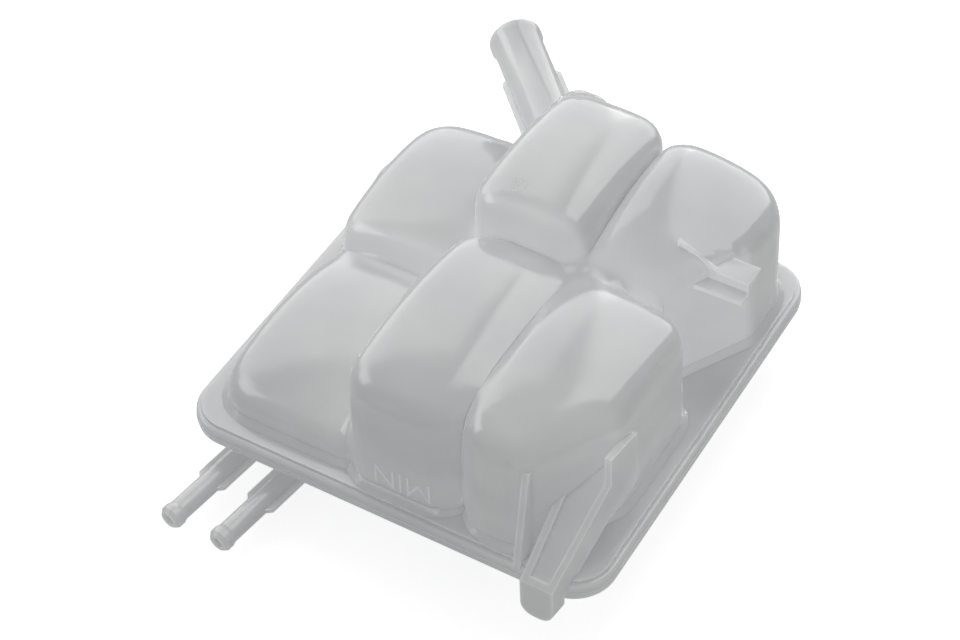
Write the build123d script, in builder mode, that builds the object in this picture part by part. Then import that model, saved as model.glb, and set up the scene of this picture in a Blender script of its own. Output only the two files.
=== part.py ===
"""Coolant expansion tank: two moulded shells welded together along a flat flange.

The tank lies bottom half upwards, on its filler neck. The origin is the middle of the neck's rim, +Z is
up, +X runs along the front edge and +Y to the back. Plan positions are measured from the flange's front
left corner and heights from the weld plane, in millimetres.
"""
import os
from dataclasses import dataclass, replace
from math import cos, radians, sin, tan

from build123d import *

# Moulding
wall = 2.8
draft = 1.2
fin_thickness = 2.0
rib_root = 8.0
hollow_chamfer = 0.7

# Plan of the lower shell: three columns and two rows of cells inside the flange's margins
left_margin = 9.0
right_margin = 9.5
front_margin = 5.5
back_margin = 6.0
left_column = 63.0
middle_column = 54.0
right_column = 54.5
front_row = 97.5
back_row = 85.0
left_front_setback = 4.5
left_back_setback = 4.0
right_back_bulge = 3.5
right_front_slant_x = 24.0
right_front_slant_y = 38.0
right_back_slant_x = 26.0
right_back_slant_y = 45.0

# Weld flange, one half on each shell
flange_corner = 18.0
flange_thickness = 5.2
rim_width = 2.5
rim_step = 1.2
rim_round = 1.5
foot = 2.5

# Grooves between the cells
groove_overlap = 2.0
groove_inset = 15.5
groove_height = 57.0
left_groove_height = 19.0
seam_round = 8.0
seam_corner = 10.0
seam_end_corner = 15.0
seam_reach = 20.0

# Heights of the lower shell's cells
left_front_height = 27.0
left_back_height = 36.0
middle_front_height = 67.0
middle_back_height = 78.0
right_front_height = 67.0
right_back_height = 70.5

# Roundings of the cells: top edges, plan corners, and the radius and middle of the crowned tops
left_round = 8.0
middle_round = 12.0
right_round = 13.0
left_corner_margin = 2.0
corner_margin = 4.5
outer_corner = 18.0
back_right_corner = 23.0
left_crown = 130.0
middle_crown = 180.0
middle_crown_shift = -8.0
right_front_crown = 150.0
right_front_crown_shift = -10.0
right_back_crown = 105.0
right_back_crown_shift_x = -19.0
right_back_crown_shift_y = 9.0

# Level ridge on the front of the middle cell
ridge_offset = 12.0
ridge_length = 35.0
ridge_height = 8.0
ridge_width = 1.6
ridge_proud = 0.9

# Upper shell, below the weld plane
upper_depth = 31.0
upper_front_inset = 14.5
upper_left_inset = 12.0
upper_right_inset = 14.0
upper_back_inset = 12.0
upper_round = 9.0

# Filler neck
neck_diameter = 44.0
neck_bore_diameter = 36.0
neck_height = 18.0
neck_chamfer = 0.8

# Main outlet and the swelling of the wall beside it
outlet_diameter = 21.6
outlet_bead_diameter = 23.4
outlet_bore_diameter = 16.0
outlet_length = 67.5
outlet_inset_x = 6.2
outlet_inset_y = 16.0
outlet_height = 50.0
outlet_turn = 45.0
outlet_fin_reach = 41.0
outlet_fin_width = 26.0
swelling_width = 26.0
swelling_proud = 5.0
swelling_height = 66.0
swelling_round = 6.0

# Vent nipples
nipple_diameter = 9.2
nipple_bead_diameter = 10.4
nipple_bore_diameter = 5.0
nipple_length = 54.0
nipple_depth = 16.0
nipple_turn = 8.0
nipple_first_x = 23.8
nipple_spacing = 23.6
nipple_root = 5.0
nipple_fin_reach = 31.0
nipple_fin_width = 13.8

# Beads of the hose tails
bead_length = 6.0
bead_crest = 2.6
nose_step = 0.7

# Mounting tongue at the front right corner, with the fin and the rib beside it
tongue_proud = 1.0
tongue_width = 18.0
tongue_taper = 4.0
tongue_wall = 2.8
tongue_back_y = 40.0
tongue_overhang = 8.5
tongue_floor_height = 7.5
tongue_slope = 33.0
tongue_rim = 2.5
tongue_cheek = 16.0
tongue_nose_drop = 9.0
tongue_nose_round = 6.0
flange_clearance = 0.6
fin_gap = 5.1
fin_top_height = 50.0
fin_top_setback = 3.5
rib_front_y = 30.0
rib_back_y = 50.0
rib_foot_height = 16.0
rib_top_slope = 5.0

# Side lug on the right back cell
lug_offset = 25.5
lug_proud = 8.5
lug_drop = 12.5
lug_step = 4.5
lug_back_width = 9.5
lug_front_width = 7.0
lug_plate = 1.8
lug_rib_run = 22.5
lug_rib_drop = 3.2

middle_wall_x = left_margin + left_column
column_groove_x = middle_wall_x + middle_column
right_wall_x = column_groove_x + right_column
right_back_x = right_wall_x + right_back_bulge
row_groove_y = front_margin + front_row
back_wall_y = row_groove_y + back_row
left_front_y = front_margin + left_front_setback
left_back_y = back_wall_y - left_back_setback
flange_width = right_wall_x + right_margin
flange_depth = back_wall_y + back_margin
upper_right_x = flange_width - upper_right_inset
upper_back_y = flange_depth - upper_back_inset
neck_x = (column_groove_x + upper_right_x) / 2
neck_y = (row_groove_y + upper_back_y) / 2
weld_plane = Plane((-neck_x, -neck_y, upper_depth))


def at(x: float, y: float, z: float) -> Vector:
    """A point of the tank, given from the flange's corner and the weld plane."""
    return weld_plane.from_local_coords(Vector(x, y, z))


def side_plane(x: float) -> Plane:
    """The upright plane at x, drawn on in y and z, whose normal is +X."""
    return Plane(at(x, 0, 0), x_dir=(0, 1, 0), z_dir=(1, 0, 0))


@dataclass(frozen=True)
class Cell:
    """One pillow of a shell: its plan sides at the weld plane, its height and its roundings."""

    left: float
    right: float
    front: float
    back: float
    height: float
    rounding: float
    corners: tuple
    crown: float = 0.0
    crown_x: float = 0.0
    crown_y: float = 0.0
    slant_x: float = 0.0
    slant_y: float = 0.0
    seam_x: int = 0
    seam_y: int = 0

    def plan(self) -> list:
        """Corners of the plan, with the slanting wall between the front and the right side if it has one."""
        front_right = [(self.right, self.front)]
        if self.slant_x:
            front_right = [(self.right - self.slant_x, self.front), (self.right, self.front + self.slant_y)]
        return [(self.left, self.front), *front_right, (self.right, self.back), (self.left, self.back)]

    def past_seams(self) -> "Cell":
        """The cell run on past its grooves, with its crown left where it is."""
        run_x = self.seam_x * seam_reach
        run_y = self.seam_y * seam_reach
        return replace(
            self,
            left=self.left + min(run_x, 0),
            right=self.right + max(run_x, 0),
            front=self.front + min(run_y, 0),
            back=self.back + max(run_y, 0),
            crown_x=self.crown_x - run_x / 2,
            crown_y=self.crown_y - run_y / 2,
        )

    def tight(self) -> "Cell":
        """The cell with the small roundings of its groove sides, tightest where the grooves cross."""
        seam_at_x = self.right if self.seam_x > 0 else self.left
        seam_at_y = self.back if self.seam_y > 0 else self.front
        corners = []
        for (x, y), radius in zip(self.plan(), self.corners):
            seams = (x == seam_at_x) + (y == seam_at_y)
            corners.append((radius, seam_end_corner, seam_corner)[seams])
        return replace(self, rounding=seam_round, corners=tuple(corners))


def plan_face(cell: Cell, growth: float, height: float = 0.0) -> Sketch:
    """The cell's plan at the given height, grown by the given amount or inset by a negative one."""
    with BuildSketch(weld_plane.offset(height)) as face:
        with BuildLine():
            FilletPolyline(*cell.plan(), radius=list(cell.corners), close=True)
        make_face()
        if growth:
            offset(amount=growth, mode=Mode.REPLACE)
    return face.sketch


def block(cell: Cell, inset: float = 0.0) -> Part:
    """A drafted block with round corners, a crowned top and a rounded top edge, or its inset hollow."""
    with BuildPart() as piece:
        extrude(plan_face(cell, -inset), amount=cell.height - inset, taper=draft)
        if cell.crown:
            middle_x = (cell.left + cell.right) / 2 + cell.crown_x
            middle_y = (cell.front + cell.back) / 2 + cell.crown_y
            with Locations(at(middle_x, middle_y, cell.height - cell.crown)):
                Sphere(cell.crown - inset, mode=Mode.INTERSECT)
        top_edges = piece.faces().sort_by(Axis.Z)[-1].edges()
        if inset:
            chamfer(top_edges, hollow_chamfer * (cell.rounding - inset))
        else:
            fillet(top_edges, cell.rounding)
    return piece.part


def pillow(cell: Cell) -> Part:
    """The outside of a cell: wide roundings on its free sides, small ones along its grooves."""
    if not cell.seam_x:
        return block(cell)
    with BuildPart() as piece:
        add(block(cell.past_seams()))
        add(block(cell.tight()), mode=Mode.INTERSECT)
    return piece.part


def root(cell: Cell) -> Part:
    """The sloping root of a cell's walls on the flange."""
    with BuildPart() as skirt:
        extrude(plan_face(cell, foot, flange_thickness), amount=foot, taper=45)
    return skirt.part


def flange() -> Part:
    """Half of the weld flange, with its lowered outer rim."""
    middle = (flange_width / 2, flange_depth / 2)
    with BuildPart() as plate:
        with BuildSketch(weld_plane):
            with Locations(middle):
                RectangleRounded(flange_width, flange_depth, flange_corner)
        extrude(amount=flange_thickness - rim_step)
        fillet(plate.faces().sort_by(Axis.Z)[-1].edges(), rim_round)
        with BuildSketch(weld_plane):
            with Locations(middle):
                RectangleRounded(
                    flange_width - 2 * rim_width,
                    flange_depth - 2 * rim_width,
                    flange_corner - rim_width,
                )
        extrude(amount=flange_thickness)
    return plate.part


def hose_tail(axis: Plane, length: float, diameter: float, bead_diameter: float,
              fin_reach: float, fin_width: float) -> Part:
    """A tube along the plane's normal with a bead at its end and a fin on either side of its root."""
    section = Plane(axis.origin, x_dir=axis.x_dir, z_dir=-axis.y_dir)
    tube = diameter / 2
    bead = bead_diameter / 2
    ramp = (bead_length - bead_crest) / 2
    fin_chamfer = (fin_width - diameter) / 2
    with BuildPart() as tail:
        with BuildSketch(section):
            with BuildLine():
                Polyline(
                    (0, 0),
                    (tube, 0),
                    (tube, length - bead_length),
                    (bead, length - bead_length + ramp),
                    (bead, length - ramp),
                    (tube - nose_step, length),
                    (0, length),
                    close=True,
                )
            make_face()
        revolve(axis=Axis(axis.origin, axis.z_dir))
        with BuildSketch(section):
            with BuildLine():
                Polyline(
                    (-fin_width / 2, 0),
                    (fin_width / 2, 0),
                    (fin_width / 2, fin_reach - fin_chamfer),
                    (tube, fin_reach),
                    (-tube, fin_reach),
                    (-fin_width / 2, fin_reach - fin_chamfer),
                    close=True,
                )
            make_face()
        extrude(amount=fin_thickness / 2, both=True)
    return tail.part


def bore(axis: Plane, diameter: float, length: float) -> Part:
    """The round hole through a hose tail or the neck."""
    with BuildPart() as hole:
        with BuildSketch(axis):
            Circle(diameter / 2)
        extrude(amount=length)
    return hole.part


tongue_right_x = right_wall_x + tongue_proud
tongue_left_x = tongue_right_x - tongue_width
tongue_nose = -tongue_nose_drop
tongue_run = tongue_back_y + tongue_overhang


def tongue_plan(margin: float) -> Part:
    """The tongue's plan, which narrows to its tip, as a tall block with the walls taken off by margin."""
    with BuildPart() as block:
        with BuildSketch(weld_plane.offset(tongue_nose)):
            with BuildLine():
                Polyline(
                    (tongue_left_x + margin, tongue_back_y),
                    (tongue_left_x + margin, margin - tongue_overhang),
                    (tongue_right_x - tongue_taper - margin, margin - tongue_overhang),
                    (tongue_right_x - margin, rib_front_y),
                    (tongue_right_x - margin, tongue_back_y),
                    close=True,
                )
            make_face()
        extrude(amount=fin_top_height + tongue_nose_drop)
    return block.part


def tongue_line(lift: float) -> list:
    """The tongue's sloping floor in side view, from its tip to its back end, lifted by the given amount."""
    low = tongue_floor_height + lift
    return [(-tongue_overhang, low), (tongue_back_y, low + tongue_run * tan(radians(tongue_slope)))]


def side_view(points: list) -> Part:
    """A block of the given (y, z) outline that spans the tongue's width."""
    with BuildPart() as block:
        with BuildSketch(side_plane(tongue_left_x)):
            with BuildLine():
                Polyline(*points, close=True)
            make_face()
        extrude(amount=tongue_width)
    return block.part


def tongue() -> Part:
    """The sloping tongue: a floor between two cheeks, open below, that turns down at its round nose."""
    rim_tip, rim_back = tongue_line(tongue_rim)
    floor_tip, floor_back = tongue_line(0)
    above_tip, above_back = tongue_line(2 * tongue_rim)
    below_tip, below_back = tongue_line(-tongue_wall)
    cheek_back = tongue_line(-tongue_cheek)[1]
    body = side_view([
        rim_tip,
        rim_back,
        cheek_back,
        (-flange_clearance, 0),
        (-flange_clearance, tongue_nose),
        (-tongue_overhang, tongue_nose),
    ])
    recess = side_view([floor_tip, floor_back, above_back, above_tip])
    hollow = side_view([below_tip, below_back, (tongue_back_y, tongue_nose), (-tongue_overhang, tongue_nose)])
    with BuildPart() as piece:
        add(body)
        add(tongue_plan(0), mode=Mode.INTERSECT)
        nose_edges = piece.faces().sort_by(Axis.Z)[0].edges().filter_by(Axis.X, reverse=True)
        fillet(nose_edges, tongue_nose_round)
        add(recess.intersect(tongue_plan(tongue_wall)), mode=Mode.SUBTRACT)
        add(hollow.intersect(tongue_plan(tongue_wall)), mode=Mode.SUBTRACT)
    return piece.part


def front_fin() -> Part:
    """The upright fin left of the tongue, which spreads towards the flange's edge."""
    with BuildPart() as fin:
        with BuildSketch(side_plane(tongue_left_x - fin_gap)):
            with BuildLine():
                Polyline(
                    (front_margin + rib_root, 0),
                    (front_margin + rib_root, fin_top_height),
                    (front_margin + fin_top_setback, fin_top_height),
                    (0, flange_thickness),
                    (0, 0),
                    close=True,
                )
            make_face()
        extrude(amount=-tongue_wall)
    return fin.part


def side_rib() -> Part:
    """The upright rib on the right wall, in line with the tongue's right cheek."""
    with BuildPart() as rib:
        with BuildSketch(side_plane(tongue_right_x)):
            with BuildLine():
                Polyline(
                    (rib_front_y, rib_foot_height),
                    (rib_back_y, rib_foot_height),
                    (rib_back_y, fin_top_height - rib_top_slope),
                    (rib_front_y, fin_top_height),
                    close=True,
                )
            make_face()
        extrude(amount=-tongue_wall)
    return rib.part


def lug() -> Part:
    """The stepped side lug: two plates on either side of an upright rib that runs up the shoulder."""
    lug_y = row_groove_y + lug_offset
    root = right_wall_x - lug_rib_run
    reach = right_wall_x + lug_proud
    high = right_back_height - lug_drop
    low = high - lug_step
    with BuildPart() as piece:
        with BuildSketch(Plane(at(0, lug_y, 0), x_dir=(1, 0, 0), z_dir=(0, -1, 0))):
            with BuildLine():
                Polyline(
                    (root, low - lug_plate),
                    (reach, low - lug_plate),
                    (reach, high),
                    (right_wall_x - lug_step, high),
                    (root, right_back_height - lug_rib_drop),
                    close=True,
                )
            make_face()
        extrude(amount=lug_plate / 2, both=True)
        with BuildSketch(weld_plane.offset(high - lug_plate)):
            with Locations((root, lug_y)):
                Rectangle(reach - root, lug_back_width, align=(Align.MIN, Align.MIN))
        extrude(amount=lug_plate)
        with BuildSketch(weld_plane.offset(low - lug_plate)):
            with Locations((root, lug_y)):
                Rectangle(reach - root, lug_front_width, align=(Align.MIN, Align.MAX))
        extrude(amount=lug_plate)
    return piece.part


def level_ridge() -> Part:
    """The raised line of the lowest coolant level on the middle front cell."""
    front = front_margin - ridge_proud + ridge_height * tan(radians(draft))
    with BuildPart() as ridge:
        with BuildSketch(weld_plane.offset(ridge_height)):
            with Locations((middle_wall_x + ridge_offset, front)):
                Rectangle(ridge_length, wall, align=(Align.MIN, Align.MIN))
        extrude(amount=ridge_width / 2, both=True)
    return ridge.part


left_corner = left_round + left_corner_margin
middle_corner = middle_round + corner_margin
right_corner = right_round + corner_margin
swelling_corner = swelling_round + corner_margin
groove_left = column_groove_x + groove_overlap / 2
groove_right = column_groove_x - groove_overlap / 2
groove_front = row_groove_y + groove_overlap / 2
groove_back = row_groove_y - groove_overlap / 2
under_middle = middle_wall_x + rib_root
outlet_x = middle_wall_x + outlet_inset_x
outlet_y = back_wall_y - outlet_inset_y

lower_cells = [
    Cell(left_margin, under_middle, left_front_y, groove_front, left_front_height, left_round,
         (outer_corner, left_corner, left_corner, left_corner), left_crown),
    Cell(left_margin, under_middle, groove_back, left_back_y, left_back_height, left_round,
         (left_corner, left_corner, left_corner, outer_corner), left_crown),
    Cell(middle_wall_x, groove_left, front_margin, groove_front, middle_front_height, middle_round,
         (middle_corner,) * 4, middle_crown, seam_x=1, seam_y=1),
    Cell(middle_wall_x, groove_left, groove_back, back_wall_y, middle_back_height, middle_round,
         (middle_corner,) * 4, middle_crown, crown_y=middle_crown_shift, seam_x=1, seam_y=-1),
    Cell(groove_right, right_wall_x, front_margin, groove_front, right_front_height, right_round,
         (right_corner,) * 5, right_front_crown, crown_x=right_front_crown_shift,
         slant_x=right_front_slant_x, slant_y=right_front_slant_y, seam_x=-1, seam_y=1),
    Cell(groove_right, right_back_x, groove_back, back_wall_y, right_back_height, right_round,
         (right_corner, right_corner, right_corner, back_right_corner, right_corner), right_back_crown,
         right_back_crown_shift_x, right_back_crown_shift_y, right_back_slant_x, right_back_slant_y,
         seam_x=-1, seam_y=-1),
    Cell(middle_wall_x, middle_wall_x + swelling_width, outlet_y - outlet_diameter,
         back_wall_y + swelling_proud, swelling_height, swelling_round, (swelling_corner,) * 4),
    Cell(middle_wall_x + groove_inset, right_back_x - right_back_slant_x - seam_round,
         front_margin + groove_inset, back_wall_y - groove_inset, groove_height,
         left_round, (left_corner,) * 4),
    Cell(left_margin + groove_inset, column_groove_x, left_front_y + groove_inset,
         left_back_y - groove_inset, left_groove_height, left_round, (left_corner,) * 4),
]

outlet_angle = radians(outlet_turn)
outlet_axis = Plane(
    at(outlet_x, outlet_y, outlet_height),
    x_dir=(cos(outlet_angle), sin(outlet_angle), 0),
    z_dir=(-sin(outlet_angle), cos(outlet_angle), 0),
)

with BuildPart() as lower_shell:
    add(flange())
    add([pillow(cell) for cell in lower_cells])
    add([root(cell) for cell in lower_cells[:6]])
    add([tongue(), front_fin(), side_rib(), lug(), level_ridge()])
    add(hose_tail(outlet_axis, outlet_length, outlet_diameter, outlet_bead_diameter,
                  outlet_fin_reach, outlet_fin_width))
    add([block(cell, wall) for cell in lower_cells], mode=Mode.SUBTRACT)
    add(bore(outlet_axis, outlet_bore_diameter, outlet_length), mode=Mode.SUBTRACT)

upper_corner = upper_round + corner_margin
neck_cell_depth = upper_depth - neck_height


def upper_cell(left: float, right: float, front: float, back: float) -> Cell:
    """A cell of the upper shell; the one under the filler neck is shallower by the neck's height."""
    around_neck = left < neck_x < right and front < neck_y < back
    depth = neck_cell_depth if around_neck else upper_depth
    return Cell(left, right, front, back, depth, upper_round, (upper_corner,) * 4)


upper_columns = [
    (upper_left_inset, middle_wall_x + groove_overlap / 2),
    (middle_wall_x - groove_overlap / 2, groove_left),
    (groove_right, upper_right_x),
]
upper_rows = [(upper_front_inset, groove_front), (groove_back, upper_back_y)]
upper_cells = [upper_cell(*column, *row) for column in upper_columns for row in upper_rows]
upper_cells.append(
    Cell(upper_left_inset + groove_inset, upper_right_x - groove_inset, upper_front_inset + groove_inset,
         upper_back_y - groove_inset, neck_cell_depth, upper_round, (upper_corner,) * 4)
)

neck_axis = Plane(at(neck_x, neck_y, 0))
nipple_angle = radians(nipple_turn)
nipple_axes = [
    Plane(
        at(nipple_first_x + index * nipple_spacing, upper_front_inset + nipple_root, nipple_depth),
        x_dir=(cos(nipple_angle), -sin(nipple_angle), 0),
        z_dir=(-sin(nipple_angle), -cos(nipple_angle), 0),
    )
    for index in range(2)
]

with BuildPart() as upper_blank:
    with BuildSketch(neck_axis):
        Circle(neck_diameter / 2)
    extrude(amount=upper_depth)
    chamfer(upper_blank.faces().sort_by(Axis.Z)[-1].edges(), neck_chamfer)
    add(flange())
    add([pillow(cell) for cell in upper_cells])
    for axis in nipple_axes:
        add(hose_tail(axis, nipple_length, nipple_diameter, nipple_bead_diameter,
                      nipple_fin_reach, nipple_fin_width))
    add([block(cell, wall) for cell in upper_cells], mode=Mode.SUBTRACT)
    add(bore(neck_axis, neck_bore_diameter, upper_depth), mode=Mode.SUBTRACT)
    add([bore(axis, nipple_bore_diameter, nipple_length) for axis in nipple_axes], mode=Mode.SUBTRACT)

with BuildPart() as upper_shell:
    add(mirror(upper_blank.part, about=weld_plane, mode=Mode.PRIVATE))

os.makedirs("parts", exist_ok=True)
lower_shell.part.label = "lower_shell"
upper_shell.part.label = "upper_shell"
export_step(lower_shell.part, "parts/lower_shell.step")
export_step(upper_shell.part, "parts/upper_shell.step")
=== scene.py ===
"""Looks of a coolant expansion tank: its milky finish and the fine marks moulded on it.

The tank lies upside down on the rim of its filler neck and the flat cells beside it. Lengths are metres in
the part's own frame, except where a class says otherwise. Positions on the tank are counted from the front
left corner of its weld flange, with heights from the weld plane.
"""
from __future__ import annotations

import logging
import math
from dataclasses import dataclass, field
from enum import Enum
from typing import Any, Union

import bmesh
import bpy
import numpy as np
from mathutils import Matrix, Quaternion, Vector
from mathutils.bvhtree import BVHTree
from mathutils.kdtree import KDTree

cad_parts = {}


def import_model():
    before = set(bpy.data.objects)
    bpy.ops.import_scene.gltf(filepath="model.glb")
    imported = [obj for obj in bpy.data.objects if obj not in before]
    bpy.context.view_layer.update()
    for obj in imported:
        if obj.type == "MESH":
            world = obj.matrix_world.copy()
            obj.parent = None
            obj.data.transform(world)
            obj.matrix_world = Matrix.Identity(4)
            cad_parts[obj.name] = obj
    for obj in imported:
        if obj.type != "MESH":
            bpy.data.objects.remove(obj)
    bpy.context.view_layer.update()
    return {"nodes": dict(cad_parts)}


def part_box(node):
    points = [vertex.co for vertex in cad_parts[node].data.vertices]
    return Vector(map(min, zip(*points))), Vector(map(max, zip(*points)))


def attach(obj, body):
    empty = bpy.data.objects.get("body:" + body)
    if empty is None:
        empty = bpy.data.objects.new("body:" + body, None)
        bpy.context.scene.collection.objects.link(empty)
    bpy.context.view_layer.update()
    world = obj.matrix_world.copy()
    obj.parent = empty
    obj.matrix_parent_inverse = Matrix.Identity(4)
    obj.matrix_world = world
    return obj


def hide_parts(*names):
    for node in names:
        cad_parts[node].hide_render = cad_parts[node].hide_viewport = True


LOG = logging.getLogger("coolant_tank")
MM = 0.001
ROOT_BODY = "root"
LOWER_SHELL = "lower_shell"
UPPER_SHELL = "upper_shell"

Colour = tuple[float, float, float]
Point = tuple[float, float, float]
Spot = tuple[float, float]
Face = tuple[int, ...]
Operand = Union["Field", float]

FLANGE_WIDTH = 190 * MM
FLANGE_DEPTH = 194 * MM
LAMP_TARGET: Point = (95 * MM, 97 * MM, 30 * MM)


class NodeKind(Enum):
    """Shader nodes that the finishes are made of."""

    COORDINATES = "ShaderNodeTexCoord"
    MAPPING = "ShaderNodeMapping"
    SEPARATE = "ShaderNodeSeparateXYZ"
    NOISE = "ShaderNodeTexNoise"
    MATH = "ShaderNodeMath"
    RANGE = "ShaderNodeMapRange"
    MIX = "ShaderNodeMix"
    BUMP = "ShaderNodeBump"
    OCCLUSION = "ShaderNodeAmbientOcclusion"
    PRINCIPLED = "ShaderNodeBsdfPrincipled"
    EMISSION = "ShaderNodeEmission"
    BACKGROUND = "ShaderNodeBackground"
    ADD_SHADER = "ShaderNodeAddShader"
    LIGHT_PATH = "ShaderNodeLightPath"
    SURFACE = "ShaderNodeOutputMaterial"
    SKY = "ShaderNodeOutputWorld"


class Field:
    """A shader value that adds Math nodes to its graph when it is used in an expression."""

    def __init__(self, graph: ShaderGraph, socket: bpy.types.NodeSocket) -> None:
        """Wraps one output socket of the graph."""
        self.graph = graph
        self.socket = socket

    def _math(self, operation: str, first: Operand, second: Operand) -> Field:
        """One Math node on two operands."""
        return self.graph.node(NodeKind.MATH, {"operation": operation}, {0: first, 1: second})

    def __add__(self, other: Operand) -> Field:
        """This value plus another."""
        return self._math("ADD", self, other)

    def __sub__(self, other: Operand) -> Field:
        """This value minus another."""
        return self._math("SUBTRACT", self, other)

    def __rsub__(self, other: Operand) -> Field:
        """Another value minus this one."""
        return self._math("SUBTRACT", other, self)

    def __mul__(self, other: Operand) -> Field:
        """This value times another."""
        return self._math("MULTIPLY", self, other)


class ShaderGraph:
    """Adds nodes to one material's or world's node tree."""

    def __init__(self, tree: bpy.types.NodeTree) -> None:
        """Empties the tree and keeps it."""
        tree.nodes.clear()
        self.tree = tree

    def node(self, kind: NodeKind, settings: dict[str, Any] | None = None,
             inputs: dict[Union[str, int], Any] | None = None, output: Union[str, int] = 0) -> Field:
        """Adds a node.

        Args:
            kind: the node's type.
            settings: properties of the node, set before its sockets.
            inputs: sockets by name or place, each with a number, a colour or a Field to link.
            output: the socket that the result stands for.

        Returns:
            The chosen output, or the node's first input where it has no outputs.
        """
        made = self.tree.nodes.new(kind.value)
        for name, value in (settings or {}).items():
            setattr(made, name, value)
        for name, value in (inputs or {}).items():
            if isinstance(value, Field):
                self.tree.links.new(value.socket, made.inputs[name])
            else:
                made.inputs[name].default_value = value
        return Field(self, made.outputs[output] if made.outputs else made.inputs[0])

    def blend(self, factor: Operand, first: Union[Field, Colour], second: Colour) -> Field:
        """A colour between two, chosen by the factor."""
        start = first if isinstance(first, Field) else (*first, 1.0)
        return self.node(NodeKind.MIX, {"data_type": "RGBA"}, {0: factor, 6: start, 7: (*second, 1.0)}, 2)

    def stretch(self, value: Operand, low: float, high: float) -> Field:
        """The value's range from low to high, spread over 0 to 1 with soft ends."""
        settings = {"interpolation_type": "SMOOTHSTEP"}
        return self.node(NodeKind.RANGE, settings, {"Value": value, "From Min": low, "From Max": high})


def new_material(name: str) -> tuple[bpy.types.Material, ShaderGraph]:
    """Makes an empty node material.

    Args:
        name: the material's name.

    Returns:
        The material and the graph of its nodes.
    """
    material = bpy.data.materials.new(name)
    material.use_nodes = True
    return material, ShaderGraph(material.node_tree)


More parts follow.
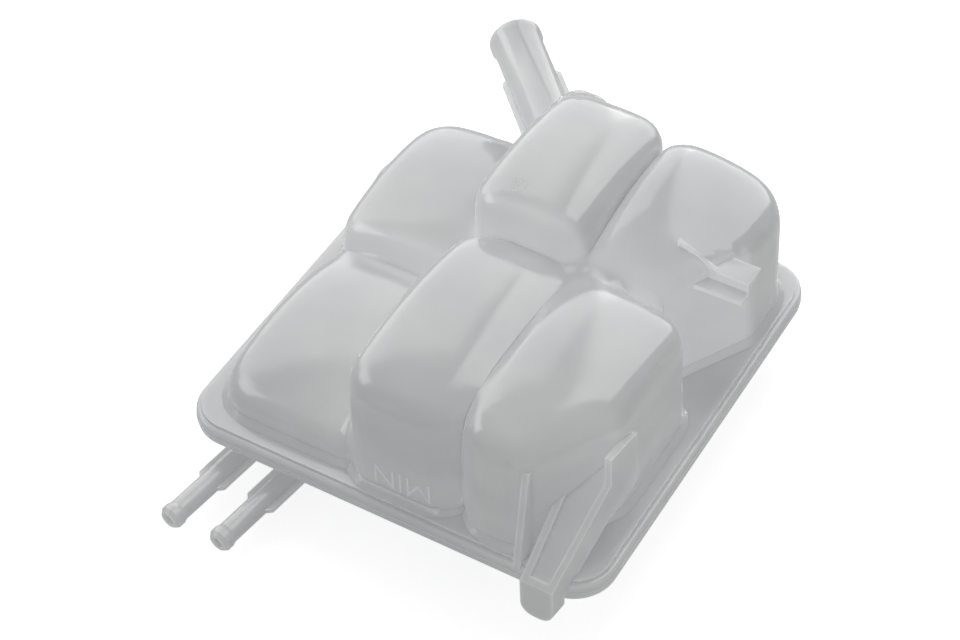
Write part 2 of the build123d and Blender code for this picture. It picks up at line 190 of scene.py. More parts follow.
@dataclass(frozen=True)
class MilkyPlastic:
    """Translucent moulded polypropylene: milky and clouded, with faint flow marks under a glossy skin.

    The base colour is paler in grooves and feet. This is painted light that stands in for the light
    reaching them through the walls beside them. An emission paints a faint even glow over all of the shell.
    It paints a stronger glow on the front walls of the back cells, standing in for the light that falls in
    from behind and shines through them.
    """

    name: str
    dense: Colour
    thin: Colour
    milk_low: float = 0.34
    milk_high: float = 0.66
    cloud_scale: float = 16.0
    cloud_detail: float = 3.0
    cloud_weight: float = 0.55
    flow_scale: Point = (9.0, 9.0, 42.0)
    flow_detail: float = 4.0
    flow_weight: float = 0.45
    # Painted light: a pale colour mixed in where the shell is occluded, standing in for light through
    # nearby walls.
    crevice_painted_light: Colour = (0.85, 0.855, 0.86)
    crevice_light_reach: float = 22 * MM
    crevice_light_share: float = 0.65
    crevice_light_samples: int = 8
    # The emission's colours: a faint even painted glow, and a stronger painted glow on front walls far
    # back.
    even_painted_glow: Colour = (0.22, 0.223, 0.228)
    back_painted_glow: Colour = (0.72, 0.725, 0.73)
    painted_glow_strength: float = 0.30
    painted_glow_start: float = -160 * MM
    painted_glow_full: float = -44 * MM
    front_facing: float = -0.6
    side_facing: float = -0.05
    noise_middle: float = 0.5
    roughness: float = 0.18
    cloud_roughness: float = 0.05
    grain_roughness: float = 0.06
    grain_scale: float = 850.0
    grain_height: float = 0.08
    ripple_scale: float = 55.0
    ripple_height: float = 0.7
    relief_detail: float = 2.0
    bump_depth: float = 0.4 * MM
    bump_strength: float = 0.10
    glow_reach: float = 4 * MM
    coat: float = 0.30
    coat_roughness: float = 0.08
    ior: float = 1.49

    def material(self) -> bpy.types.Material:
        """Makes the material.

        Returns:
            The node material, whose marks follow the part's own coordinates.
        """
        material, graph = new_material(self.name)
        place = graph.node(NodeKind.COORDINATES, output="Object")
        clouds = self._noise(graph, place, self.cloud_scale, self.cloud_detail)
        grain = self._noise(graph, place, self.grain_scale, self.relief_detail)
        ripple = self._noise(graph, place, self.ripple_scale, self.relief_detail)
        cloud_roughness = (clouds - self.noise_middle) * self.cloud_roughness
        grain_roughness = (grain - self.noise_middle) * self.grain_roughness
        normal = graph.node(NodeKind.BUMP, inputs={
            "Strength": self.bump_strength,
            "Distance": self.bump_depth,
            "Height": ripple * self.ripple_height + grain * self.grain_height,
        })
        shader = graph.node(NodeKind.PRINCIPLED, {"subsurface_method": "RANDOM_WALK"}, {
            "Base Color": self._milk_and_crevice_light(graph, place, clouds),
            "Roughness": cloud_roughness + grain_roughness + self.roughness,
            "Normal": normal,
            "IOR": self.ior,
            "Subsurface Weight": 1.0,
            "Subsurface Radius": (1.0, 1.0, 1.0),
            "Subsurface Scale": self.glow_reach,
            # Painted light: the emission is a glow painted on the plastic, not a lamp.
            "Emission Color": self._painted_glow(graph, place),
            "Emission Strength": self.painted_glow_strength,
            "Coat Weight": self.coat,
            "Coat Roughness": self.coat_roughness,
        })
        graph.node(NodeKind.SURFACE, inputs={"Surface": shader})
        return material

    def _milk_and_crevice_light(self, graph: ShaderGraph, place: Field, clouds: Field) -> Field:
        """The plastic's colour, clouded and streaked, with painted light that makes it paler in crevices.

        Args:
            graph: the material's graph.
            place: the part's own coordinates.
            clouds: the noise of the milky clouds.

        Returns:
            The colour.
        """
        flow_place = graph.node(NodeKind.MAPPING, inputs={"Vector": place, "Scale": self.flow_scale})
        flow = self._noise(graph, flow_place, 1.0, self.flow_detail)
        mixed = clouds * self.cloud_weight + flow * self.flow_weight
        milk = graph.blend(graph.stretch(mixed, self.milk_low, self.milk_high), self.dense, self.thin)
        settings = {"samples": self.crevice_light_samples}
        # Painted light: the less open a place is, the more of the pale crevice colour it gets.
        openness = graph.node(NodeKind.OCCLUSION, settings, {"Distance": self.crevice_light_reach}, "AO")
        return graph.blend((1.0 - openness) * self.crevice_light_share, milk, self.crevice_painted_light)

    def _painted_glow(self, graph: ShaderGraph, place: Field) -> Field:
        """A painted glow that stands in for the light coming through the walls. It is faint and even
        everywhere and strongest on front walls far back.

        Args:
            graph: the material's graph.
            place: the part's own coordinates.

        Returns:
            The painted glow's colour.
        """
        backward = graph.node(NodeKind.SEPARATE, inputs={0: place}, output="Y")
        outward = graph.node(NodeKind.COORDINATES, output="Normal")
        facing = graph.node(NodeKind.SEPARATE, inputs={0: outward}, output="Y")
        front_wall = 1.0 - graph.stretch(facing, self.front_facing, self.side_facing)
        painted_glow_share = graph.stretch(backward, self.painted_glow_start, self.painted_glow_full) * front_wall
        return graph.blend(painted_glow_share, self.even_painted_glow, self.back_painted_glow)

    @staticmethod
    def _noise(graph: ShaderGraph, place: Field, scale: float, detail: float) -> Field:
        """A noise value from 0 to 1 over the given coordinates."""
        return graph.node(NodeKind.NOISE, inputs={"Vector": place, "Scale": scale, "Detail": detail})


SHELL_FINISH = MilkyPlastic("milky_shell", dense=(0.515, 0.522, 0.532), thin=(0.605, 0.608, 0.608))
# The marks carry a stronger even painted glow than the shell, so they read paler.
MARK_FINISH = MilkyPlastic("milky_marks", dense=(0.54, 0.546, 0.555), thin=(0.62, 0.624, 0.626),
                           even_painted_glow=(0.34, 0.343, 0.348))


@dataclass(frozen=True)
class FlangeFrame:
    """Where the tank stands in the part's frame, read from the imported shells."""

    corner: Vector

    @classmethod
    def from_shells(cls, flange_depth: float) -> FlangeFrame:
        """Finds the flange's front left corner on the weld plane.

        Args:
            flange_depth: the flange's size from front to back.

        Returns:
            The frame of tank positions.
        """
        left = Vector(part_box(LOWER_SHELL)[0]).x
        upper_top = Vector(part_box(UPPER_SHELL)[1])
        return cls(Vector((left, upper_top.y - flange_depth, upper_top.z)))

    def at(self, x: float, y: float, z: float) -> Vector:
        """A point given from the flange's corner and the weld plane, in the part's frame."""
        return self.corner + Vector((x, y, z))


class Skin:
    """The outside of a shell, which fine marks are laid on."""

    def __init__(self, shell: bpy.types.Object) -> None:
        """Keeps a search tree of the shell's faces."""
        mesh = shell.data
        self.tree = BVHTree.FromPolygons(
            [vertex.co for vertex in mesh.vertices], [polygon.vertices for polygon in mesh.polygons])

    def drop(self, start: Vector, direction: Vector) -> Vector:
        """Where a ray from the start first meets the shell.

        Args:
            start: a point outside the shell.
            direction: the way that the ray runs.

        Returns:
            The point on the shell.
        """
        found = self.tree.ray_cast(start, direction)[0]
        if found is None:
            raise ValueError(f"no shell below {tuple(start)}")
        return found


def make_piece(name: str, points: list[Vector], faces: list[Face],
               material: bpy.types.Material, smooth: bool = True) -> bpy.types.Object:
    """Makes a mesh piece that rides with the tank.

    Args:
        name: the piece's name.
        points: vertex positions in the part's frame.
        faces: vertex numbers of each face.
        material: the piece's finish.
        smooth: whether its faces are shaded as one surface.

    Returns:
        The new object.
    """
    mesh = bpy.data.meshes.new(name)
    mesh.from_pydata([tuple(point) for point in points], [], faces)
    mesh.materials.append(material)
    mesh.update()
    if smooth:
        mesh.shade_smooth()
    piece = bpy.data.objects.new(name, mesh)
    bpy.context.scene.collection.objects.link(piece)
    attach(piece, ROOT_BODY)
    LOG.info("piece %s: %d faces", name, len(faces))
    return piece


@dataclass
class TubeMesh:
    """Points and faces of a piece that is made of tubes."""

    points: list[Vector] = field(default_factory=list)
    faces: list[Face] = field(default_factory=list)

    def add(self, rings: list[list[Vector]], closed: bool) -> None:
        """Adds a tube whose rings of points follow each other.

        Args:
            rings: the rings, with as many points in each.
            closed: whether the last ring joins the first; if not, both ends are capped.
        """
        base, count, sides = len(self.points), len(rings), len(rings[0])
        for ring in rings:
            self.points.extend(ring)
        for row in range(count if closed else count - 1):
            following = (row + 1) % count
            for side in range(sides):
                turn = (side + 1) % sides
                corners = ((row, side), (row, turn), (following, turn), (following, side))
                self.faces.append(tuple(base + at_row * sides + at_side for at_row, at_side in corners))
        if not closed:
            last = base + (count - 1) * sides
            self.faces.append(tuple(reversed(range(base, base + sides))))
            self.faces.append(tuple(range(last, last + sides)))


@dataclass(frozen=True)
class KeptBox:
    """A box of the tank, in millimetres from the flange's corner, where a thin feature keeps its edges."""

    feature: str
    low: Point
    high: Point

    def distance(self, points: np.ndarray) -> np.ndarray:
        """How far each point, in millimetres from the corner, lies outside the box."""
        outside = np.maximum(np.array(self.low) - points, points - np.array(self.high))
        return np.linalg.norm(np.maximum(outside, 0.0), axis=1)


def soft_step(values: np.ndarray, low: float, high: float) -> np.ndarray:
    """Goes from 0 at low to 1 at high with soft ends."""
    share = np.clip((values - low) / (high - low), 0.0, 1.0)
    return share * share * (3.0 - 2.0 * share)


@dataclass
class SoftSkin:
    """The lower shell with the edges and grooves of its cells eased to the soft roundings of the moulding.

    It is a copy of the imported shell. Only the outside of the cells moves, each point along the skin's own
    direction towards the average of the skin round it. The outlet, tongue, lug and fins stay as they are.
    Heights above the weld plane and the fade beside the kept boxes are millimetres, as the boxes are.
    """

    frame: FlangeFrame
    node: bpy.types.Object
    spread: float = 3.3 * MM
    reach: float = 7.4 * MM
    easing_passes: int = 2
    longest_edge: float = 4 * MM
    refining_passes: int = 8
    merge_distance: float = 0.002 * MM
    sliver_width: float = 0.03 * MM
    speck_size: float = 0.005 * MM
    hole_sides: int = 8
    foot_height: float = 7.7
    free_height: float = 12.0
    fade: float = 3.5
    crease_angle: float = 35.0
    kept: tuple[KeptBox, ...] = (
        KeptBox("tongue with its fin and rib", (154, -12, -10), (185, 53, 52)),
        KeptBox("rib of the side lug", (156, 127, 50), (192, 130, 70)),
        KeptBox("plates of the side lug", (174, 120.5, 50), (192, 139, 60)),
        KeptBox("main outlet", (-60, 163, 39.5), (112, 280, 62)),
        KeptBox("back of the flange", (-60, 189.5, -20), (260, 280, 120)),
        KeptBox("level ridge", (82, -2, 4), (121, 9, 12)),
    )

    def _freedom(self, points: np.ndarray) -> np.ndarray:
        """How freely each point may move.

        Args:
            points: positions in the part's frame.

        Returns:
            A share for each point, from 0 on the flange and thin features to 1 on the cells.
        """
        local = (points - np.array(self.frame.corner)) / MM
        freedom = soft_step(local[:, 2], self.foot_height, self.free_height)
        for box in self.kept:
            freedom = freedom * soft_step(box.distance(local), 0.0, self.fade)
        return freedom

    def _outside(self, body: bmesh.types.BMesh) -> tuple[np.ndarray, np.ndarray]:
        """Finds the skin of the cells, spreading from the highest point.

        Args:
            body: the shell's mesh.

        Returns:
            Every point's position, and its freedom, which is 0 off the skin.
        """
        body.verts.ensure_lookup_table()
        body.verts.index_update()
        points = np.array([vertex.co for vertex in body.verts])
        freedom = self._freedom(points)
        reached = np.zeros(len(points), dtype=bool)
        waiting = [int(np.argmax(points[:, 2]))]
        reached[waiting[0]] = True
        while waiting:
            vertex = body.verts[waiting.pop()]
            for edge in vertex.link_edges:
                other = edge.other_vert(vertex).index
                if freedom[other] > 0 and not reached[other]:
                    reached[other] = True
                    waiting.append(other)
        return points, np.where(reached, freedom, 0.0)

    def _refine(self, body: bmesh.types.BMesh) -> None:
        """Splits the long edges of the skin until it can bend evenly.

        Args:
            body: the shell's mesh.
        """
        for _ in range(self.refining_passes):
            freedom = self._outside(body)[1]
            long_edges = [edge for edge in body.edges if edge.calc_length() > self.longest_edge
                          and all(freedom[vertex.index] > 0 for vertex in edge.verts)]
            if not long_edges:
                break
            bmesh.ops.subdivide_edges(body, edges=long_edges, cuts=1, use_grid_fill=True)
            bmesh.ops.triangulate(body, faces=[face for face in body.faces if len(face.verts) > 3])

    @staticmethod
    def _triangles(body: bmesh.types.BMesh) -> np.ndarray:
        """The three point numbers of each face."""
        body.verts.index_update()
        return np.array([[vertex.index for vertex in face.verts] for face in body.faces])

    @staticmethod
    def _patches(points: np.ndarray, faces: np.ndarray) -> np.ndarray:
        """The patch of skin that each point stands for, a third of every triangle round it.

        Args:
            points: positions of all points.
            faces: three point numbers for each face.

        Returns:
            A vector for each point, along the skin's outward direction and as long as the patch's area.
        """
        first, second, third = (points[faces[:, corner]] for corner in range(3))
        thirds = np.cross(second - first, third - first) / 6
        patches = np.zeros_like(points)
        for corner in range(3):
            np.add.at(patches, faces[:, corner], thirds)
        return patches

    def _eased(self, points: np.ndarray, faces: np.ndarray, freedom: np.ndarray) -> np.ndarray:
        """Moves the skin's points towards the average of the skin round them.

        Args:
            points: positions of all points.
            faces: three point numbers for each face.
            freedom: how freely each point may move.

        Returns:
            The new positions.
        """
        skin = np.nonzero(freedom > 0)[0]
        places = points[skin]
        patches = self._patches(points, faces)[skin]
        areas = np.linalg.norm(patches, axis=1)
        tree = KDTree(len(skin))
        for number, place in enumerate(places):
            tree.insert(place, number)
        tree.balance()
        moved = points.copy()
        for number, place in enumerate(places):
            found = tree.find_range(place, self.reach)
            near = np.array([entry[1] for entry in found])
            apart = np.array([entry[2] for entry in found])
            nearness = np.exp(-0.5 * (apart / self.spread) ** 2)
            weights = areas[near] * nearness
            average = weights @ places[near] / weights.sum()
            outward = nearness @ patches[near]
            outward = outward / np.linalg.norm(outward)
            shift = outward @ (average - place)
            moved[skin[number]] = place + outward * (shift * freedom[skin[number]])
        return moved

    def _clear(self, body: bmesh.types.BMesh) -> None:
        """Takes slivers, twin faces and fins out of the eased skin, and closes the gaps that they leave.

        Args:
            body: the eased mesh.
        """
        bmesh.ops.remove_doubles(body, verts=body.verts, dist=self.speck_size)
        bmesh.ops.dissolve_degenerate(body, edges=body.edges, dist=self.speck_size)
        bmesh.ops.triangulate(body, faces=body.faces)
        groups: dict[frozenset[int], list[bmesh.types.BMFace]] = {}
        for face, corners in zip(body.faces, self._triangles(body).tolist()):
            groups.setdefault(frozenset(corners), []).append(face)
        twins = [face for group in groups.values() if len(group) > 1 for face in group]
        bmesh.ops.delete(body, geom=twins, context="FACES")
        fins = [face for face in body.faces if any(len(edge.link_faces) == 1 for edge in face.edges)]
        bmesh.ops.delete(body, geom=fins, context="FACES")
        bmesh.ops.holes_fill(body, edges=body.edges, sides=self.hole_sides)
        bmesh.ops.triangulate(body, faces=body.faces)

    def build(self, material: bpy.types.Material) -> bpy.types.Object:
        """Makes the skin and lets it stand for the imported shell.

        Args:
            material: the shell's finish.

        Returns:
            The skin.
        """
        body = bmesh.new()
        body.from_mesh(self.node.data)
        bmesh.ops.remove_doubles(body, verts=body.verts, dist=self.merge_distance)
        bmesh.ops.dissolve_degenerate(body, edges=body.edges, dist=self.sliver_width)
        bmesh.ops.triangulate(body, faces=[face for face in body.faces if len(face.verts) > 3])
        self._refine(body)
        points, freedom = self._outside(body)
        eased = points
        for _ in range(self.easing_passes):
            eased = self._eased(eased, self._triangles(body), freedom)
        LOG.info("skin eased by up to %.2f mm", np.linalg.norm(eased - points, axis=1).max() / MM)
        LOG.info("kept crisp: %s", ", ".join(box.feature for box in self.kept))
        for vertex, place in zip(body.verts, eased):
            vertex.co = place
        self._clear(body)
        places = [vertex.co.copy() for vertex in body.verts]
        piece = make_piece("lower_shell_skin", places, self._triangles(body).tolist(), material)
        body.free()
        piece.data.set_sharp_from_angle(angle=math.radians(self.crease_angle))
        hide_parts(LOWER_SHELL)
        return piece


@dataclass
class WeldBead:
    """The thin bead that the hot weld presses out along the flange's edge."""

    frame: FlangeFrame
    width: float = FLANGE_WIDTH
    depth: float = FLANGE_DEPTH
    corner: float = 18 * MM
    thickness: float = 1.0 * MM
    proud: float = 0.35 * MM
    corner_steps: int = 14
    sides: int = 8

    def _edge(self) -> list[tuple[Vector, Vector]]:
        """Follows the flange's outline.

        Returns:
            Points of the outline with their outward directions.
        """
        outline = []
        centres = [
            (self.width - self.corner, self.depth - self.corner),
            (self.corner, self.depth - self.corner),
            (self.corner, self.corner),
            (self.width - self.corner, self.corner),
        ]
        for quarter, (x, y) in enumerate(centres):
            for step in range(self.corner_steps + 1):
                angle = (quarter + step / self.corner_steps) * math.pi / 2
                outward = Vector((math.cos(angle), math.sin(angle), 0))
                outline.append((self.frame.at(x, y, 0) + outward * self.corner, outward))
        return outline

    def build(self, material: bpy.types.Material) -> bpy.types.Object:
        """Makes the bead as one closed ring of half-sunk round section.

        Args:
            material: the bead's finish.

        Returns:
            The bead.
        """
        rings = []
        for place, outward in self._edge():
            ring = []
            for side in range(self.sides):
                angle = 2 * math.pi * side / self.sides
                rise = Vector((0, 0, math.sin(angle) * self.thickness / 2))
                ring.append(place + outward * (math.cos(angle) * self.proud) + rise)
            rings.append(ring)
        mesh = TubeMesh()
        mesh.add(rings, closed=True)
        return make_piece("weld_bead", mesh.points, mesh.faces, material)


@dataclass
class LevelWord:
    """The raised word of the lowest coolant level, upside down as the tank lies."""

    frame: FlangeFrame
    skin: Skin
    left: float = 91.2 * MM
    right: float = 115.2 * MM
    low: float = 11.0 * MM
    high: float = 20.2 * MM
    proud: float = 0.30 * MM
    shoulder_share: float = 0.6
    sunk: float = 0.25 * MM
    stroke: float = 0.80 * MM
    letter_gap: float = 3.4 * MM
    wide_letter: float = 9.4 * MM
    dip_share: float = 0.22
    clearance: float = 50 * MM

    def _strokes(self) -> list[tuple[Spot, Spot]]:
        """Centre lines of the strokes, from the left of the wall to its right.

        Returns:
            Both ends of each stroke, as places along the wall and heights.
        """
        narrow = self.right - self.left - self.wide_letter - 2 * self.letter_gap
        first = (self.left, self.left + narrow)
        middle = first[1] + self.letter_gap
        last = (self.right - self.wide_letter, self.right)
        dip = self.low + (self.high - self.low) * self.dip_share
        tip = ((last[0] + last[1]) / 2, self.high - dip + self.low)
        return [
            ((first[0], self.low), (first[0], self.high)),
            ((first[0], self.high), (first[1], self.low)),
            ((first[1], self.low), (first[1], self.high)),
            ((middle, self.low), (middle, self.high)),
            ((last[0], self.low), (last[0], self.high)),
            ((last[0], self.low), tip),
            (tip, (last[1], self.low)),
            ((last[1], self.low), (last[1], self.high)),
        ]

    def build(self, material: bpy.types.Material) -> bpy.types.Object:
        """Makes the word as bevelled bars that follow the wall.

        Args:
            material: the word's finish.

        Returns:
            The word.
        """
        mesh = TubeMesh()
        for start, end in self._strokes():
            mesh.add(self._bar(Vector(start), Vector(end)), closed=False)
        return make_piece("level_word", mesh.points, mesh.faces, material, smooth=False)

    def _bar(self, start: Vector, end: Vector) -> list[list[Vector]]:
        """One stroke: a bar with a sunk foot and a face that is a third narrower.

        Args:
            start: one end of the stroke's centre line.
            end: its other end.

        Returns:
            The rings of the bar, from its foot to its face.
        """
        along = (end - start).normalized()
        across = Vector((-along.y, along.x))
        foot, face = self.stroke / 2, self.stroke / 3
        layers = ((foot, -self.sunk), (foot, self.proud * self.shoulder_share), (face, self.proud))
        rings = []
        for half, lift in layers:
            reach, side = along * half, across * half
            corners = (start - reach - side, end + reach - side, end + reach + side, start - reach + side)
            rings.append([self._on_wall(corner, lift) for corner in corners])
        return rings

    def _on_wall(self, spot: Vector, lift: float) -> Vector:
        """A point on the front wall, lifted off it towards the front."""
        outside = self.frame.at(spot.x, -self.clearance, spot.y)
        return self.skin.drop(outside, Vector((0, 1, 0))) - Vector((0, lift, 0))


@dataclass
class DateDial:
    """The moulder's round date mark on top of the middle back cell: two rings, a pointer and tick marks."""

    frame: FlangeFrame
    skin: Skin
    middle_x: float = 92.2 * MM
    middle_y: float = 117.4 * MM
    radius: float = 3.7 * MM
    ring_steps: int = 40
    inner_radius: float = 1.5 * MM
    inner_steps: int = 24
    line: float = 0.36 * MM
    foot_share: float = 0.5
    crest_share: float = 0.2
    shoulder_share: float = 0.5
    proud: float = 0.12 * MM
    sunk: float = 0.2 * MM
    pointer_angle: float = 70.0
    pointer_share: float = 0.7
    ticks: int = 12
    tick_start: float = 0.62
    tick_end: float = 0.82
    tick_width: float = 0.6
    clearance: float = 100 * MM

    def _ground(self, x: float, y: float, lift: float) -> Vector:
        """A point on the cell's top at an offset from the dial's middle."""
        outside = self.frame.at(self.middle_x + x, self.middle_y + y, self.clearance)
        return self.skin.drop(outside, Vector((0, 0, -1))) + Vector((0, 0, lift))

    def _ring(self, radius: float, steps: int) -> list[list[Vector]]:
        """A raised ring of rounded section.

        Args:
            radius: the ring's radius at the middle of its line.
            steps: how many sections it has.

        Returns:
            The sections, as rings of a tube.
        """
        foot, crest = self.foot_share, self.crest_share
        shoulder = self.proud * self.shoulder_share
        section = [(-foot, -self.sunk), (foot, -self.sunk), (foot, shoulder),
                   (crest, self.proud), (-crest, self.proud), (-foot, shoulder)]
        rings = []
        for step in range(steps):
            angle = 2 * math.pi * step / steps
            reaches = [(radius + side * self.line, lift) for side, lift in section]
            rings.append([self._ground(reach * math.cos(angle), reach * math.sin(angle), lift)
                          for reach, lift in reaches])
        return rings

    def _bar(self, angle: float, inner: float, outer: float, width: float) -> list[list[Vector]]:
        """A raised bar that runs out from the dial's middle.

        Args:
            angle: the way that it runs.
            inner: where it starts.
            outer: where it ends.
            width: its width.

        Returns:
            Its foot and its face, as rings of a tube.
        """
        along = Vector((math.cos(angle), math.sin(angle)))
        across = Vector((-along.y, along.x)) * width / 2
        corners = (along * inner - across, along * outer - across,
                   along * outer + across, along * inner + across)
        return [[self._ground(corner.x, corner.y, lift) for corner in corners]
                for lift in (-self.sunk, self.proud)]

    def build(self, material: bpy.types.Material) -> bpy.types.Object:
        """Makes the dial as one piece that follows the crowned top.

        Args:
            material: the dial's finish.

        Returns:
            The dial.
        """
        mesh = TubeMesh()
        mesh.add(self._ring(self.radius, self.ring_steps), closed=True)
        mesh.add(self._ring(self.inner_radius, self.inner_steps), closed=True)
        half = self.inner_radius * self.pointer_share
        mesh.add(self._bar(math.radians(self.pointer_angle), -half, half, self.line), closed=False)
        inner, outer = self.radius * self.tick_start, self.radius * self.tick_end
        for tick in range(self.ticks):
            angle = 2 * math.pi * tick / self.ticks
            mesh.add(self._bar(angle, inner, outer, self.line * self.tick_width), closed=False)
        return make_piece("date_dial", mesh.points, mesh.faces, material)


@dataclass
class NeckThread:
    """The coarse cap thread that winds round the filler neck's outside, near its rim."""

    neck_radius: float = 22 * MM
    height: float = 1.5 * MM
    root_width: float = 2.4 * MM
    crest_width: float = 1.2 * MM
    pitch: float = 4.0 * MM
    start: float = 3.2 * MM
    turns: float = 2.25
    run_in: float = 0.09
    least_growth: float = 0.08
    steps_per_turn: int = 72
    sunk: float = 0.3 * MM

    def build(self, material: bpy.types.Material) -> bpy.types.Object:
        """Makes the thread as one helical rib with tapering ends.

        Args:
            material: the thread's finish.

        Returns:
            The thread.
        """
        rings = []
        root_half, crest_half = self.root_width / 2, self.crest_width / 2
        for step in range(int(self.turns * self.steps_per_turn) + 1):
            turned = step / self.steps_per_turn
            ends = min(turned, self.turns - turned) / self.run_in
            growth = max(self.least_growth, min(1.0, ends))
            crest = self.neck_radius + self.height * growth
            root = self.neck_radius - self.sunk
            rise = self.start + turned * self.pitch
            angle = 2 * math.pi * turned
            section = ((root, -root_half), (crest, -crest_half), (crest, crest_half), (root, root_half))
            rings.append([Vector((radius * math.cos(angle), radius * math.sin(angle), rise + offset))
                          for radius, offset in section])
        mesh = TubeMesh()
        mesh.add(rings, closed=False)
        return make_piece("neck_thread", mesh.points, mesh.faces, material, smooth=False)


@dataclass
class TankShells:
    """The two packed mouldings, dressed in the milky finish."""

    nodes: dict[str, bpy.types.Object]

    def dress(self, material: bpy.types.Material) -> None:
        """Puts the finish on every shell.

        Args:
            material: the shells' finish.
        """
        for name, node in self.nodes.items():
            node.data.materials.clear()
            node.data.materials.append(material)
            LOG.info("dressed %s: %d faces", name, len(node.data.polygons))


def outward_from(azimuth: float, elevation: float) -> Vector:
    """The direction from the tank to a place at an azimuth from the front and an elevation, in degrees."""
    turn, tilt = math.radians(azimuth), math.radians(elevation)
    return Vector((math.sin(turn) * math.cos(tilt), -math.cos(turn) * math.cos(tilt), math.sin(tilt)))


@dataclass(frozen=True)
class PhotoCamera:
    """The photograph's camera, given by its turn, tilt, roll and distance from the middle of the flange."""

    frame: FlangeFrame
    middle: Point = (95 * MM, 99.09 * MM, 0.0)
    azimuth: float = 32.691
    elevation: float = 46.919
    roll: float = -2.851
    across: float = 10.910 * MM
    upwards: float = -11.180 * MM
    distance: float = 1011.08 * MM
    focal_pixels: float = 2450.0
    image_width: float = 960.0
    sensor: float = 36.0

    def build(self) -> bpy.types.Object:
        """Makes the camera and hands it to the scene.

        Returns:
            The camera.
        """
        turn, lean = math.radians(self.azimuth), math.radians(self.roll)
        back = outward_from(self.azimuth, self.elevation)
        level = Vector((math.cos(turn), math.sin(turn), 0))
        upright = back.cross(level)
        right = level * math.cos(lean) + upright * math.sin(lean)
        up = upright * math.cos(lean) - level * math.sin(lean)
        lens = bpy.data.cameras.new("photo_camera")
        lens.sensor_width = self.sensor
        lens.lens = self.focal_pixels * self.sensor / self.image_width
        camera = bpy.data.objects.new("photo_camera", lens)
        bpy.context.scene.collection.objects.link(camera)
        aim = self.frame.at(*self.middle) - right * self.across - up * self.upwards
        camera.location = aim + back * self.distance
        camera.rotation_mode = "QUATERNION"
        camera.rotation_quaternion = Matrix((right, up, back)).transposed().to_quaternion()
        bpy.context.scene.camera = camera
        return camera


@dataclass(frozen=True)
class Lamp:
    """One soft studio lamp that faces the tank; a card shows in the gloss alone."""

    name: str
    azimuth: float
    elevation: float
    distance: float
    width: float
    height: float
    radiance: float
    lean: float = 0.0
    mirrored: bool = True
    lighting: bool = True

    def build(self, target: Vector) -> None:
        """Hangs the lamp round the target.

        Args:
            target: the point that it faces.
        """
        out = outward_from(self.azimuth, self.elevation)
        light = bpy.data.lights.new(self.name, "AREA")
        light.shape = "RECTANGLE"
        light.size = self.width
        light.size_y = self.height
        light.energy = self.radiance * math.pi * self.width * self.height
        lamp = bpy.data.objects.new(self.name, light)
        bpy.context.scene.collection.objects.link(lamp)
        lamp.location = target + out * self.distance
        lamp.rotation_mode = "QUATERNION"
        lean = Quaternion((0, 0, 1), math.radians(self.lean))
        lamp.rotation_quaternion = (-out).to_track_quat("-Z", "Y") @ lean
        lamp.visible_glossy = self.mirrored
        lamp.visible_diffuse = self.lighting
        lamp.visible_transmission = self.lighting


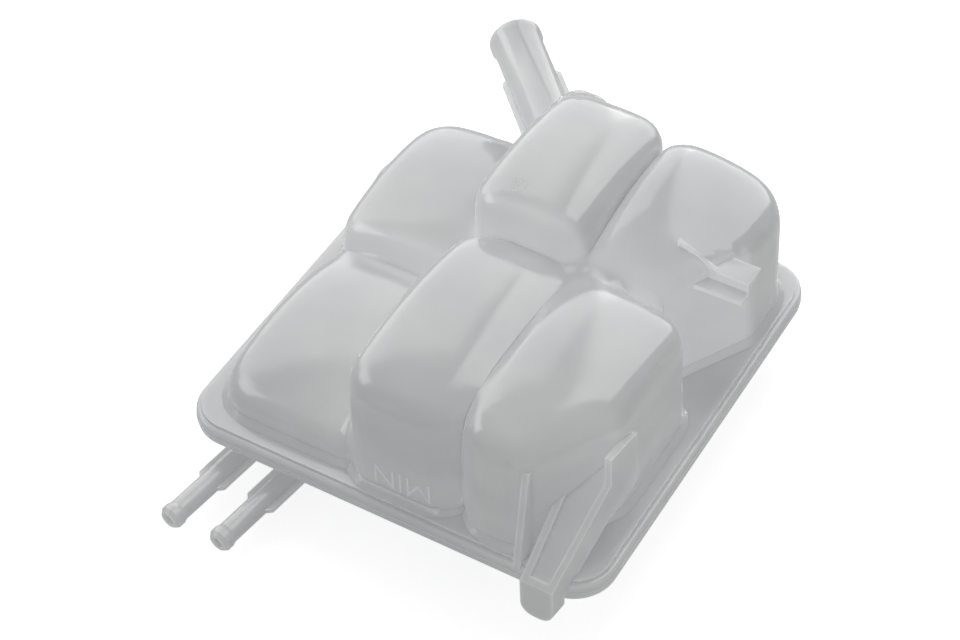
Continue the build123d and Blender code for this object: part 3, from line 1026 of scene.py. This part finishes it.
@dataclass
class Studio:
    """A white floor, a white surround and soft lamps."""

    target: Vector
    floor_reach: float = 6.0
    floor_drop: float = 0.2 * MM
    floor_albedo: float = 0.8
    floor_roughness: float = 0.9
    floor_gloss: float = 0.0
    floor_lift: float = 0.65
    floor_glow: float = 0.05
    ambient: float = 0.47
    mirrored_sky: float = 0.8
    lamps: tuple[Lamp, ...] = (
        Lamp("left_card", azimuth=-126, elevation=25, distance=1.2, width=1.456, height=1.5,
             radiance=1.6, lean=-31, lighting=False),
        Lamp("corner_card", azimuth=-66, elevation=30, distance=1.2, width=0.66, height=0.54,
             radiance=2.3, lighting=False),
        Lamp("right_card", azimuth=165.6, elevation=36, distance=1.2, width=1.09, height=1.95,
             radiance=2.1, lean=26, lighting=False),
        Lamp("back_light", azimuth=-160, elevation=58, distance=1.3, width=1.0, height=1.0,
             radiance=1.6, mirrored=False),
    )

    def _floor(self) -> None:
        """Lays the floor, which is white to the eye and keeps the tank's shadow."""
        reach = self.floor_reach
        corners = [(-reach, -reach, 0), (reach, -reach, 0), (reach, reach, 0), (-reach, reach, 0)]
        mesh = bpy.data.meshes.new("floor")
        mesh.from_pydata(corners, [], [(0, 1, 2, 3)])
        material, graph = new_material("floor_paint")
        albedo = self.floor_albedo
        paint = graph.node(NodeKind.PRINCIPLED, inputs={
            "Base Color": (albedo, albedo, albedo, 1.0),
            "Roughness": self.floor_roughness,
            "Specular IOR Level": self.floor_gloss,
        })
        eye = graph.node(NodeKind.LIGHT_PATH, output="Is Camera Ray")
        strength = eye * (self.floor_lift - self.floor_glow) + self.floor_glow
        glow = graph.node(NodeKind.EMISSION, inputs={"Strength": strength})
        both = graph.node(NodeKind.ADD_SHADER, inputs={0: paint, 1: glow})
        graph.node(NodeKind.SURFACE, inputs={"Surface": both})
        mesh.materials.append(material)
        floor = bpy.data.objects.new("floor", mesh)
        floor.location.z = -self.floor_drop
        bpy.context.scene.collection.objects.link(floor)

    def _surround(self) -> None:
        """Makes the world white to the eye, and a plain even light for the tank."""
        world = bpy.data.worlds.new("studio")
        world.use_nodes = True
        graph = ShaderGraph(world.node_tree)
        eye = graph.node(NodeKind.LIGHT_PATH, output="Is Camera Ray")
        mirror = graph.node(NodeKind.LIGHT_PATH, output="Is Glossy Ray")
        strength = eye * (1.0 - self.ambient) + mirror * (self.mirrored_sky - self.ambient) + self.ambient
        sky = graph.node(NodeKind.BACKGROUND, inputs={"Color": (1.0, 1.0, 1.0, 1.0), "Strength": strength})
        graph.node(NodeKind.SKY, inputs={"Surface": sky})
        bpy.context.scene.world = world

    def build(self) -> None:
        """Sets the floor, the surround, the lamps and the view's transform."""
        self._floor()
        self._surround()
        for lamp in self.lamps:
            lamp.build(self.target)
        bpy.context.scene.view_settings.view_transform = "Standard"


def main() -> None:
    """Builds the dressed tank in order."""
    logging.basicConfig(level=logging.INFO)
    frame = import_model()
    tank = FlangeFrame.from_shells(FLANGE_DEPTH)
    shell_material = SHELL_FINISH.material()
    mark_material = MARK_FINISH.material()
    TankShells(frame["nodes"]).dress(shell_material)
    lower_skin = Skin(SoftSkin(tank, frame["nodes"][LOWER_SHELL]).build(shell_material))
    WeldBead(tank).build(shell_material)
    LevelWord(tank, lower_skin).build(mark_material)
    DateDial(tank, lower_skin).build(mark_material)
    NeckThread().build(shell_material)
    PhotoCamera(tank).build()
    Studio(tank.at(*LAMP_TARGET)).build()


if __name__ == "__main__":
    main()
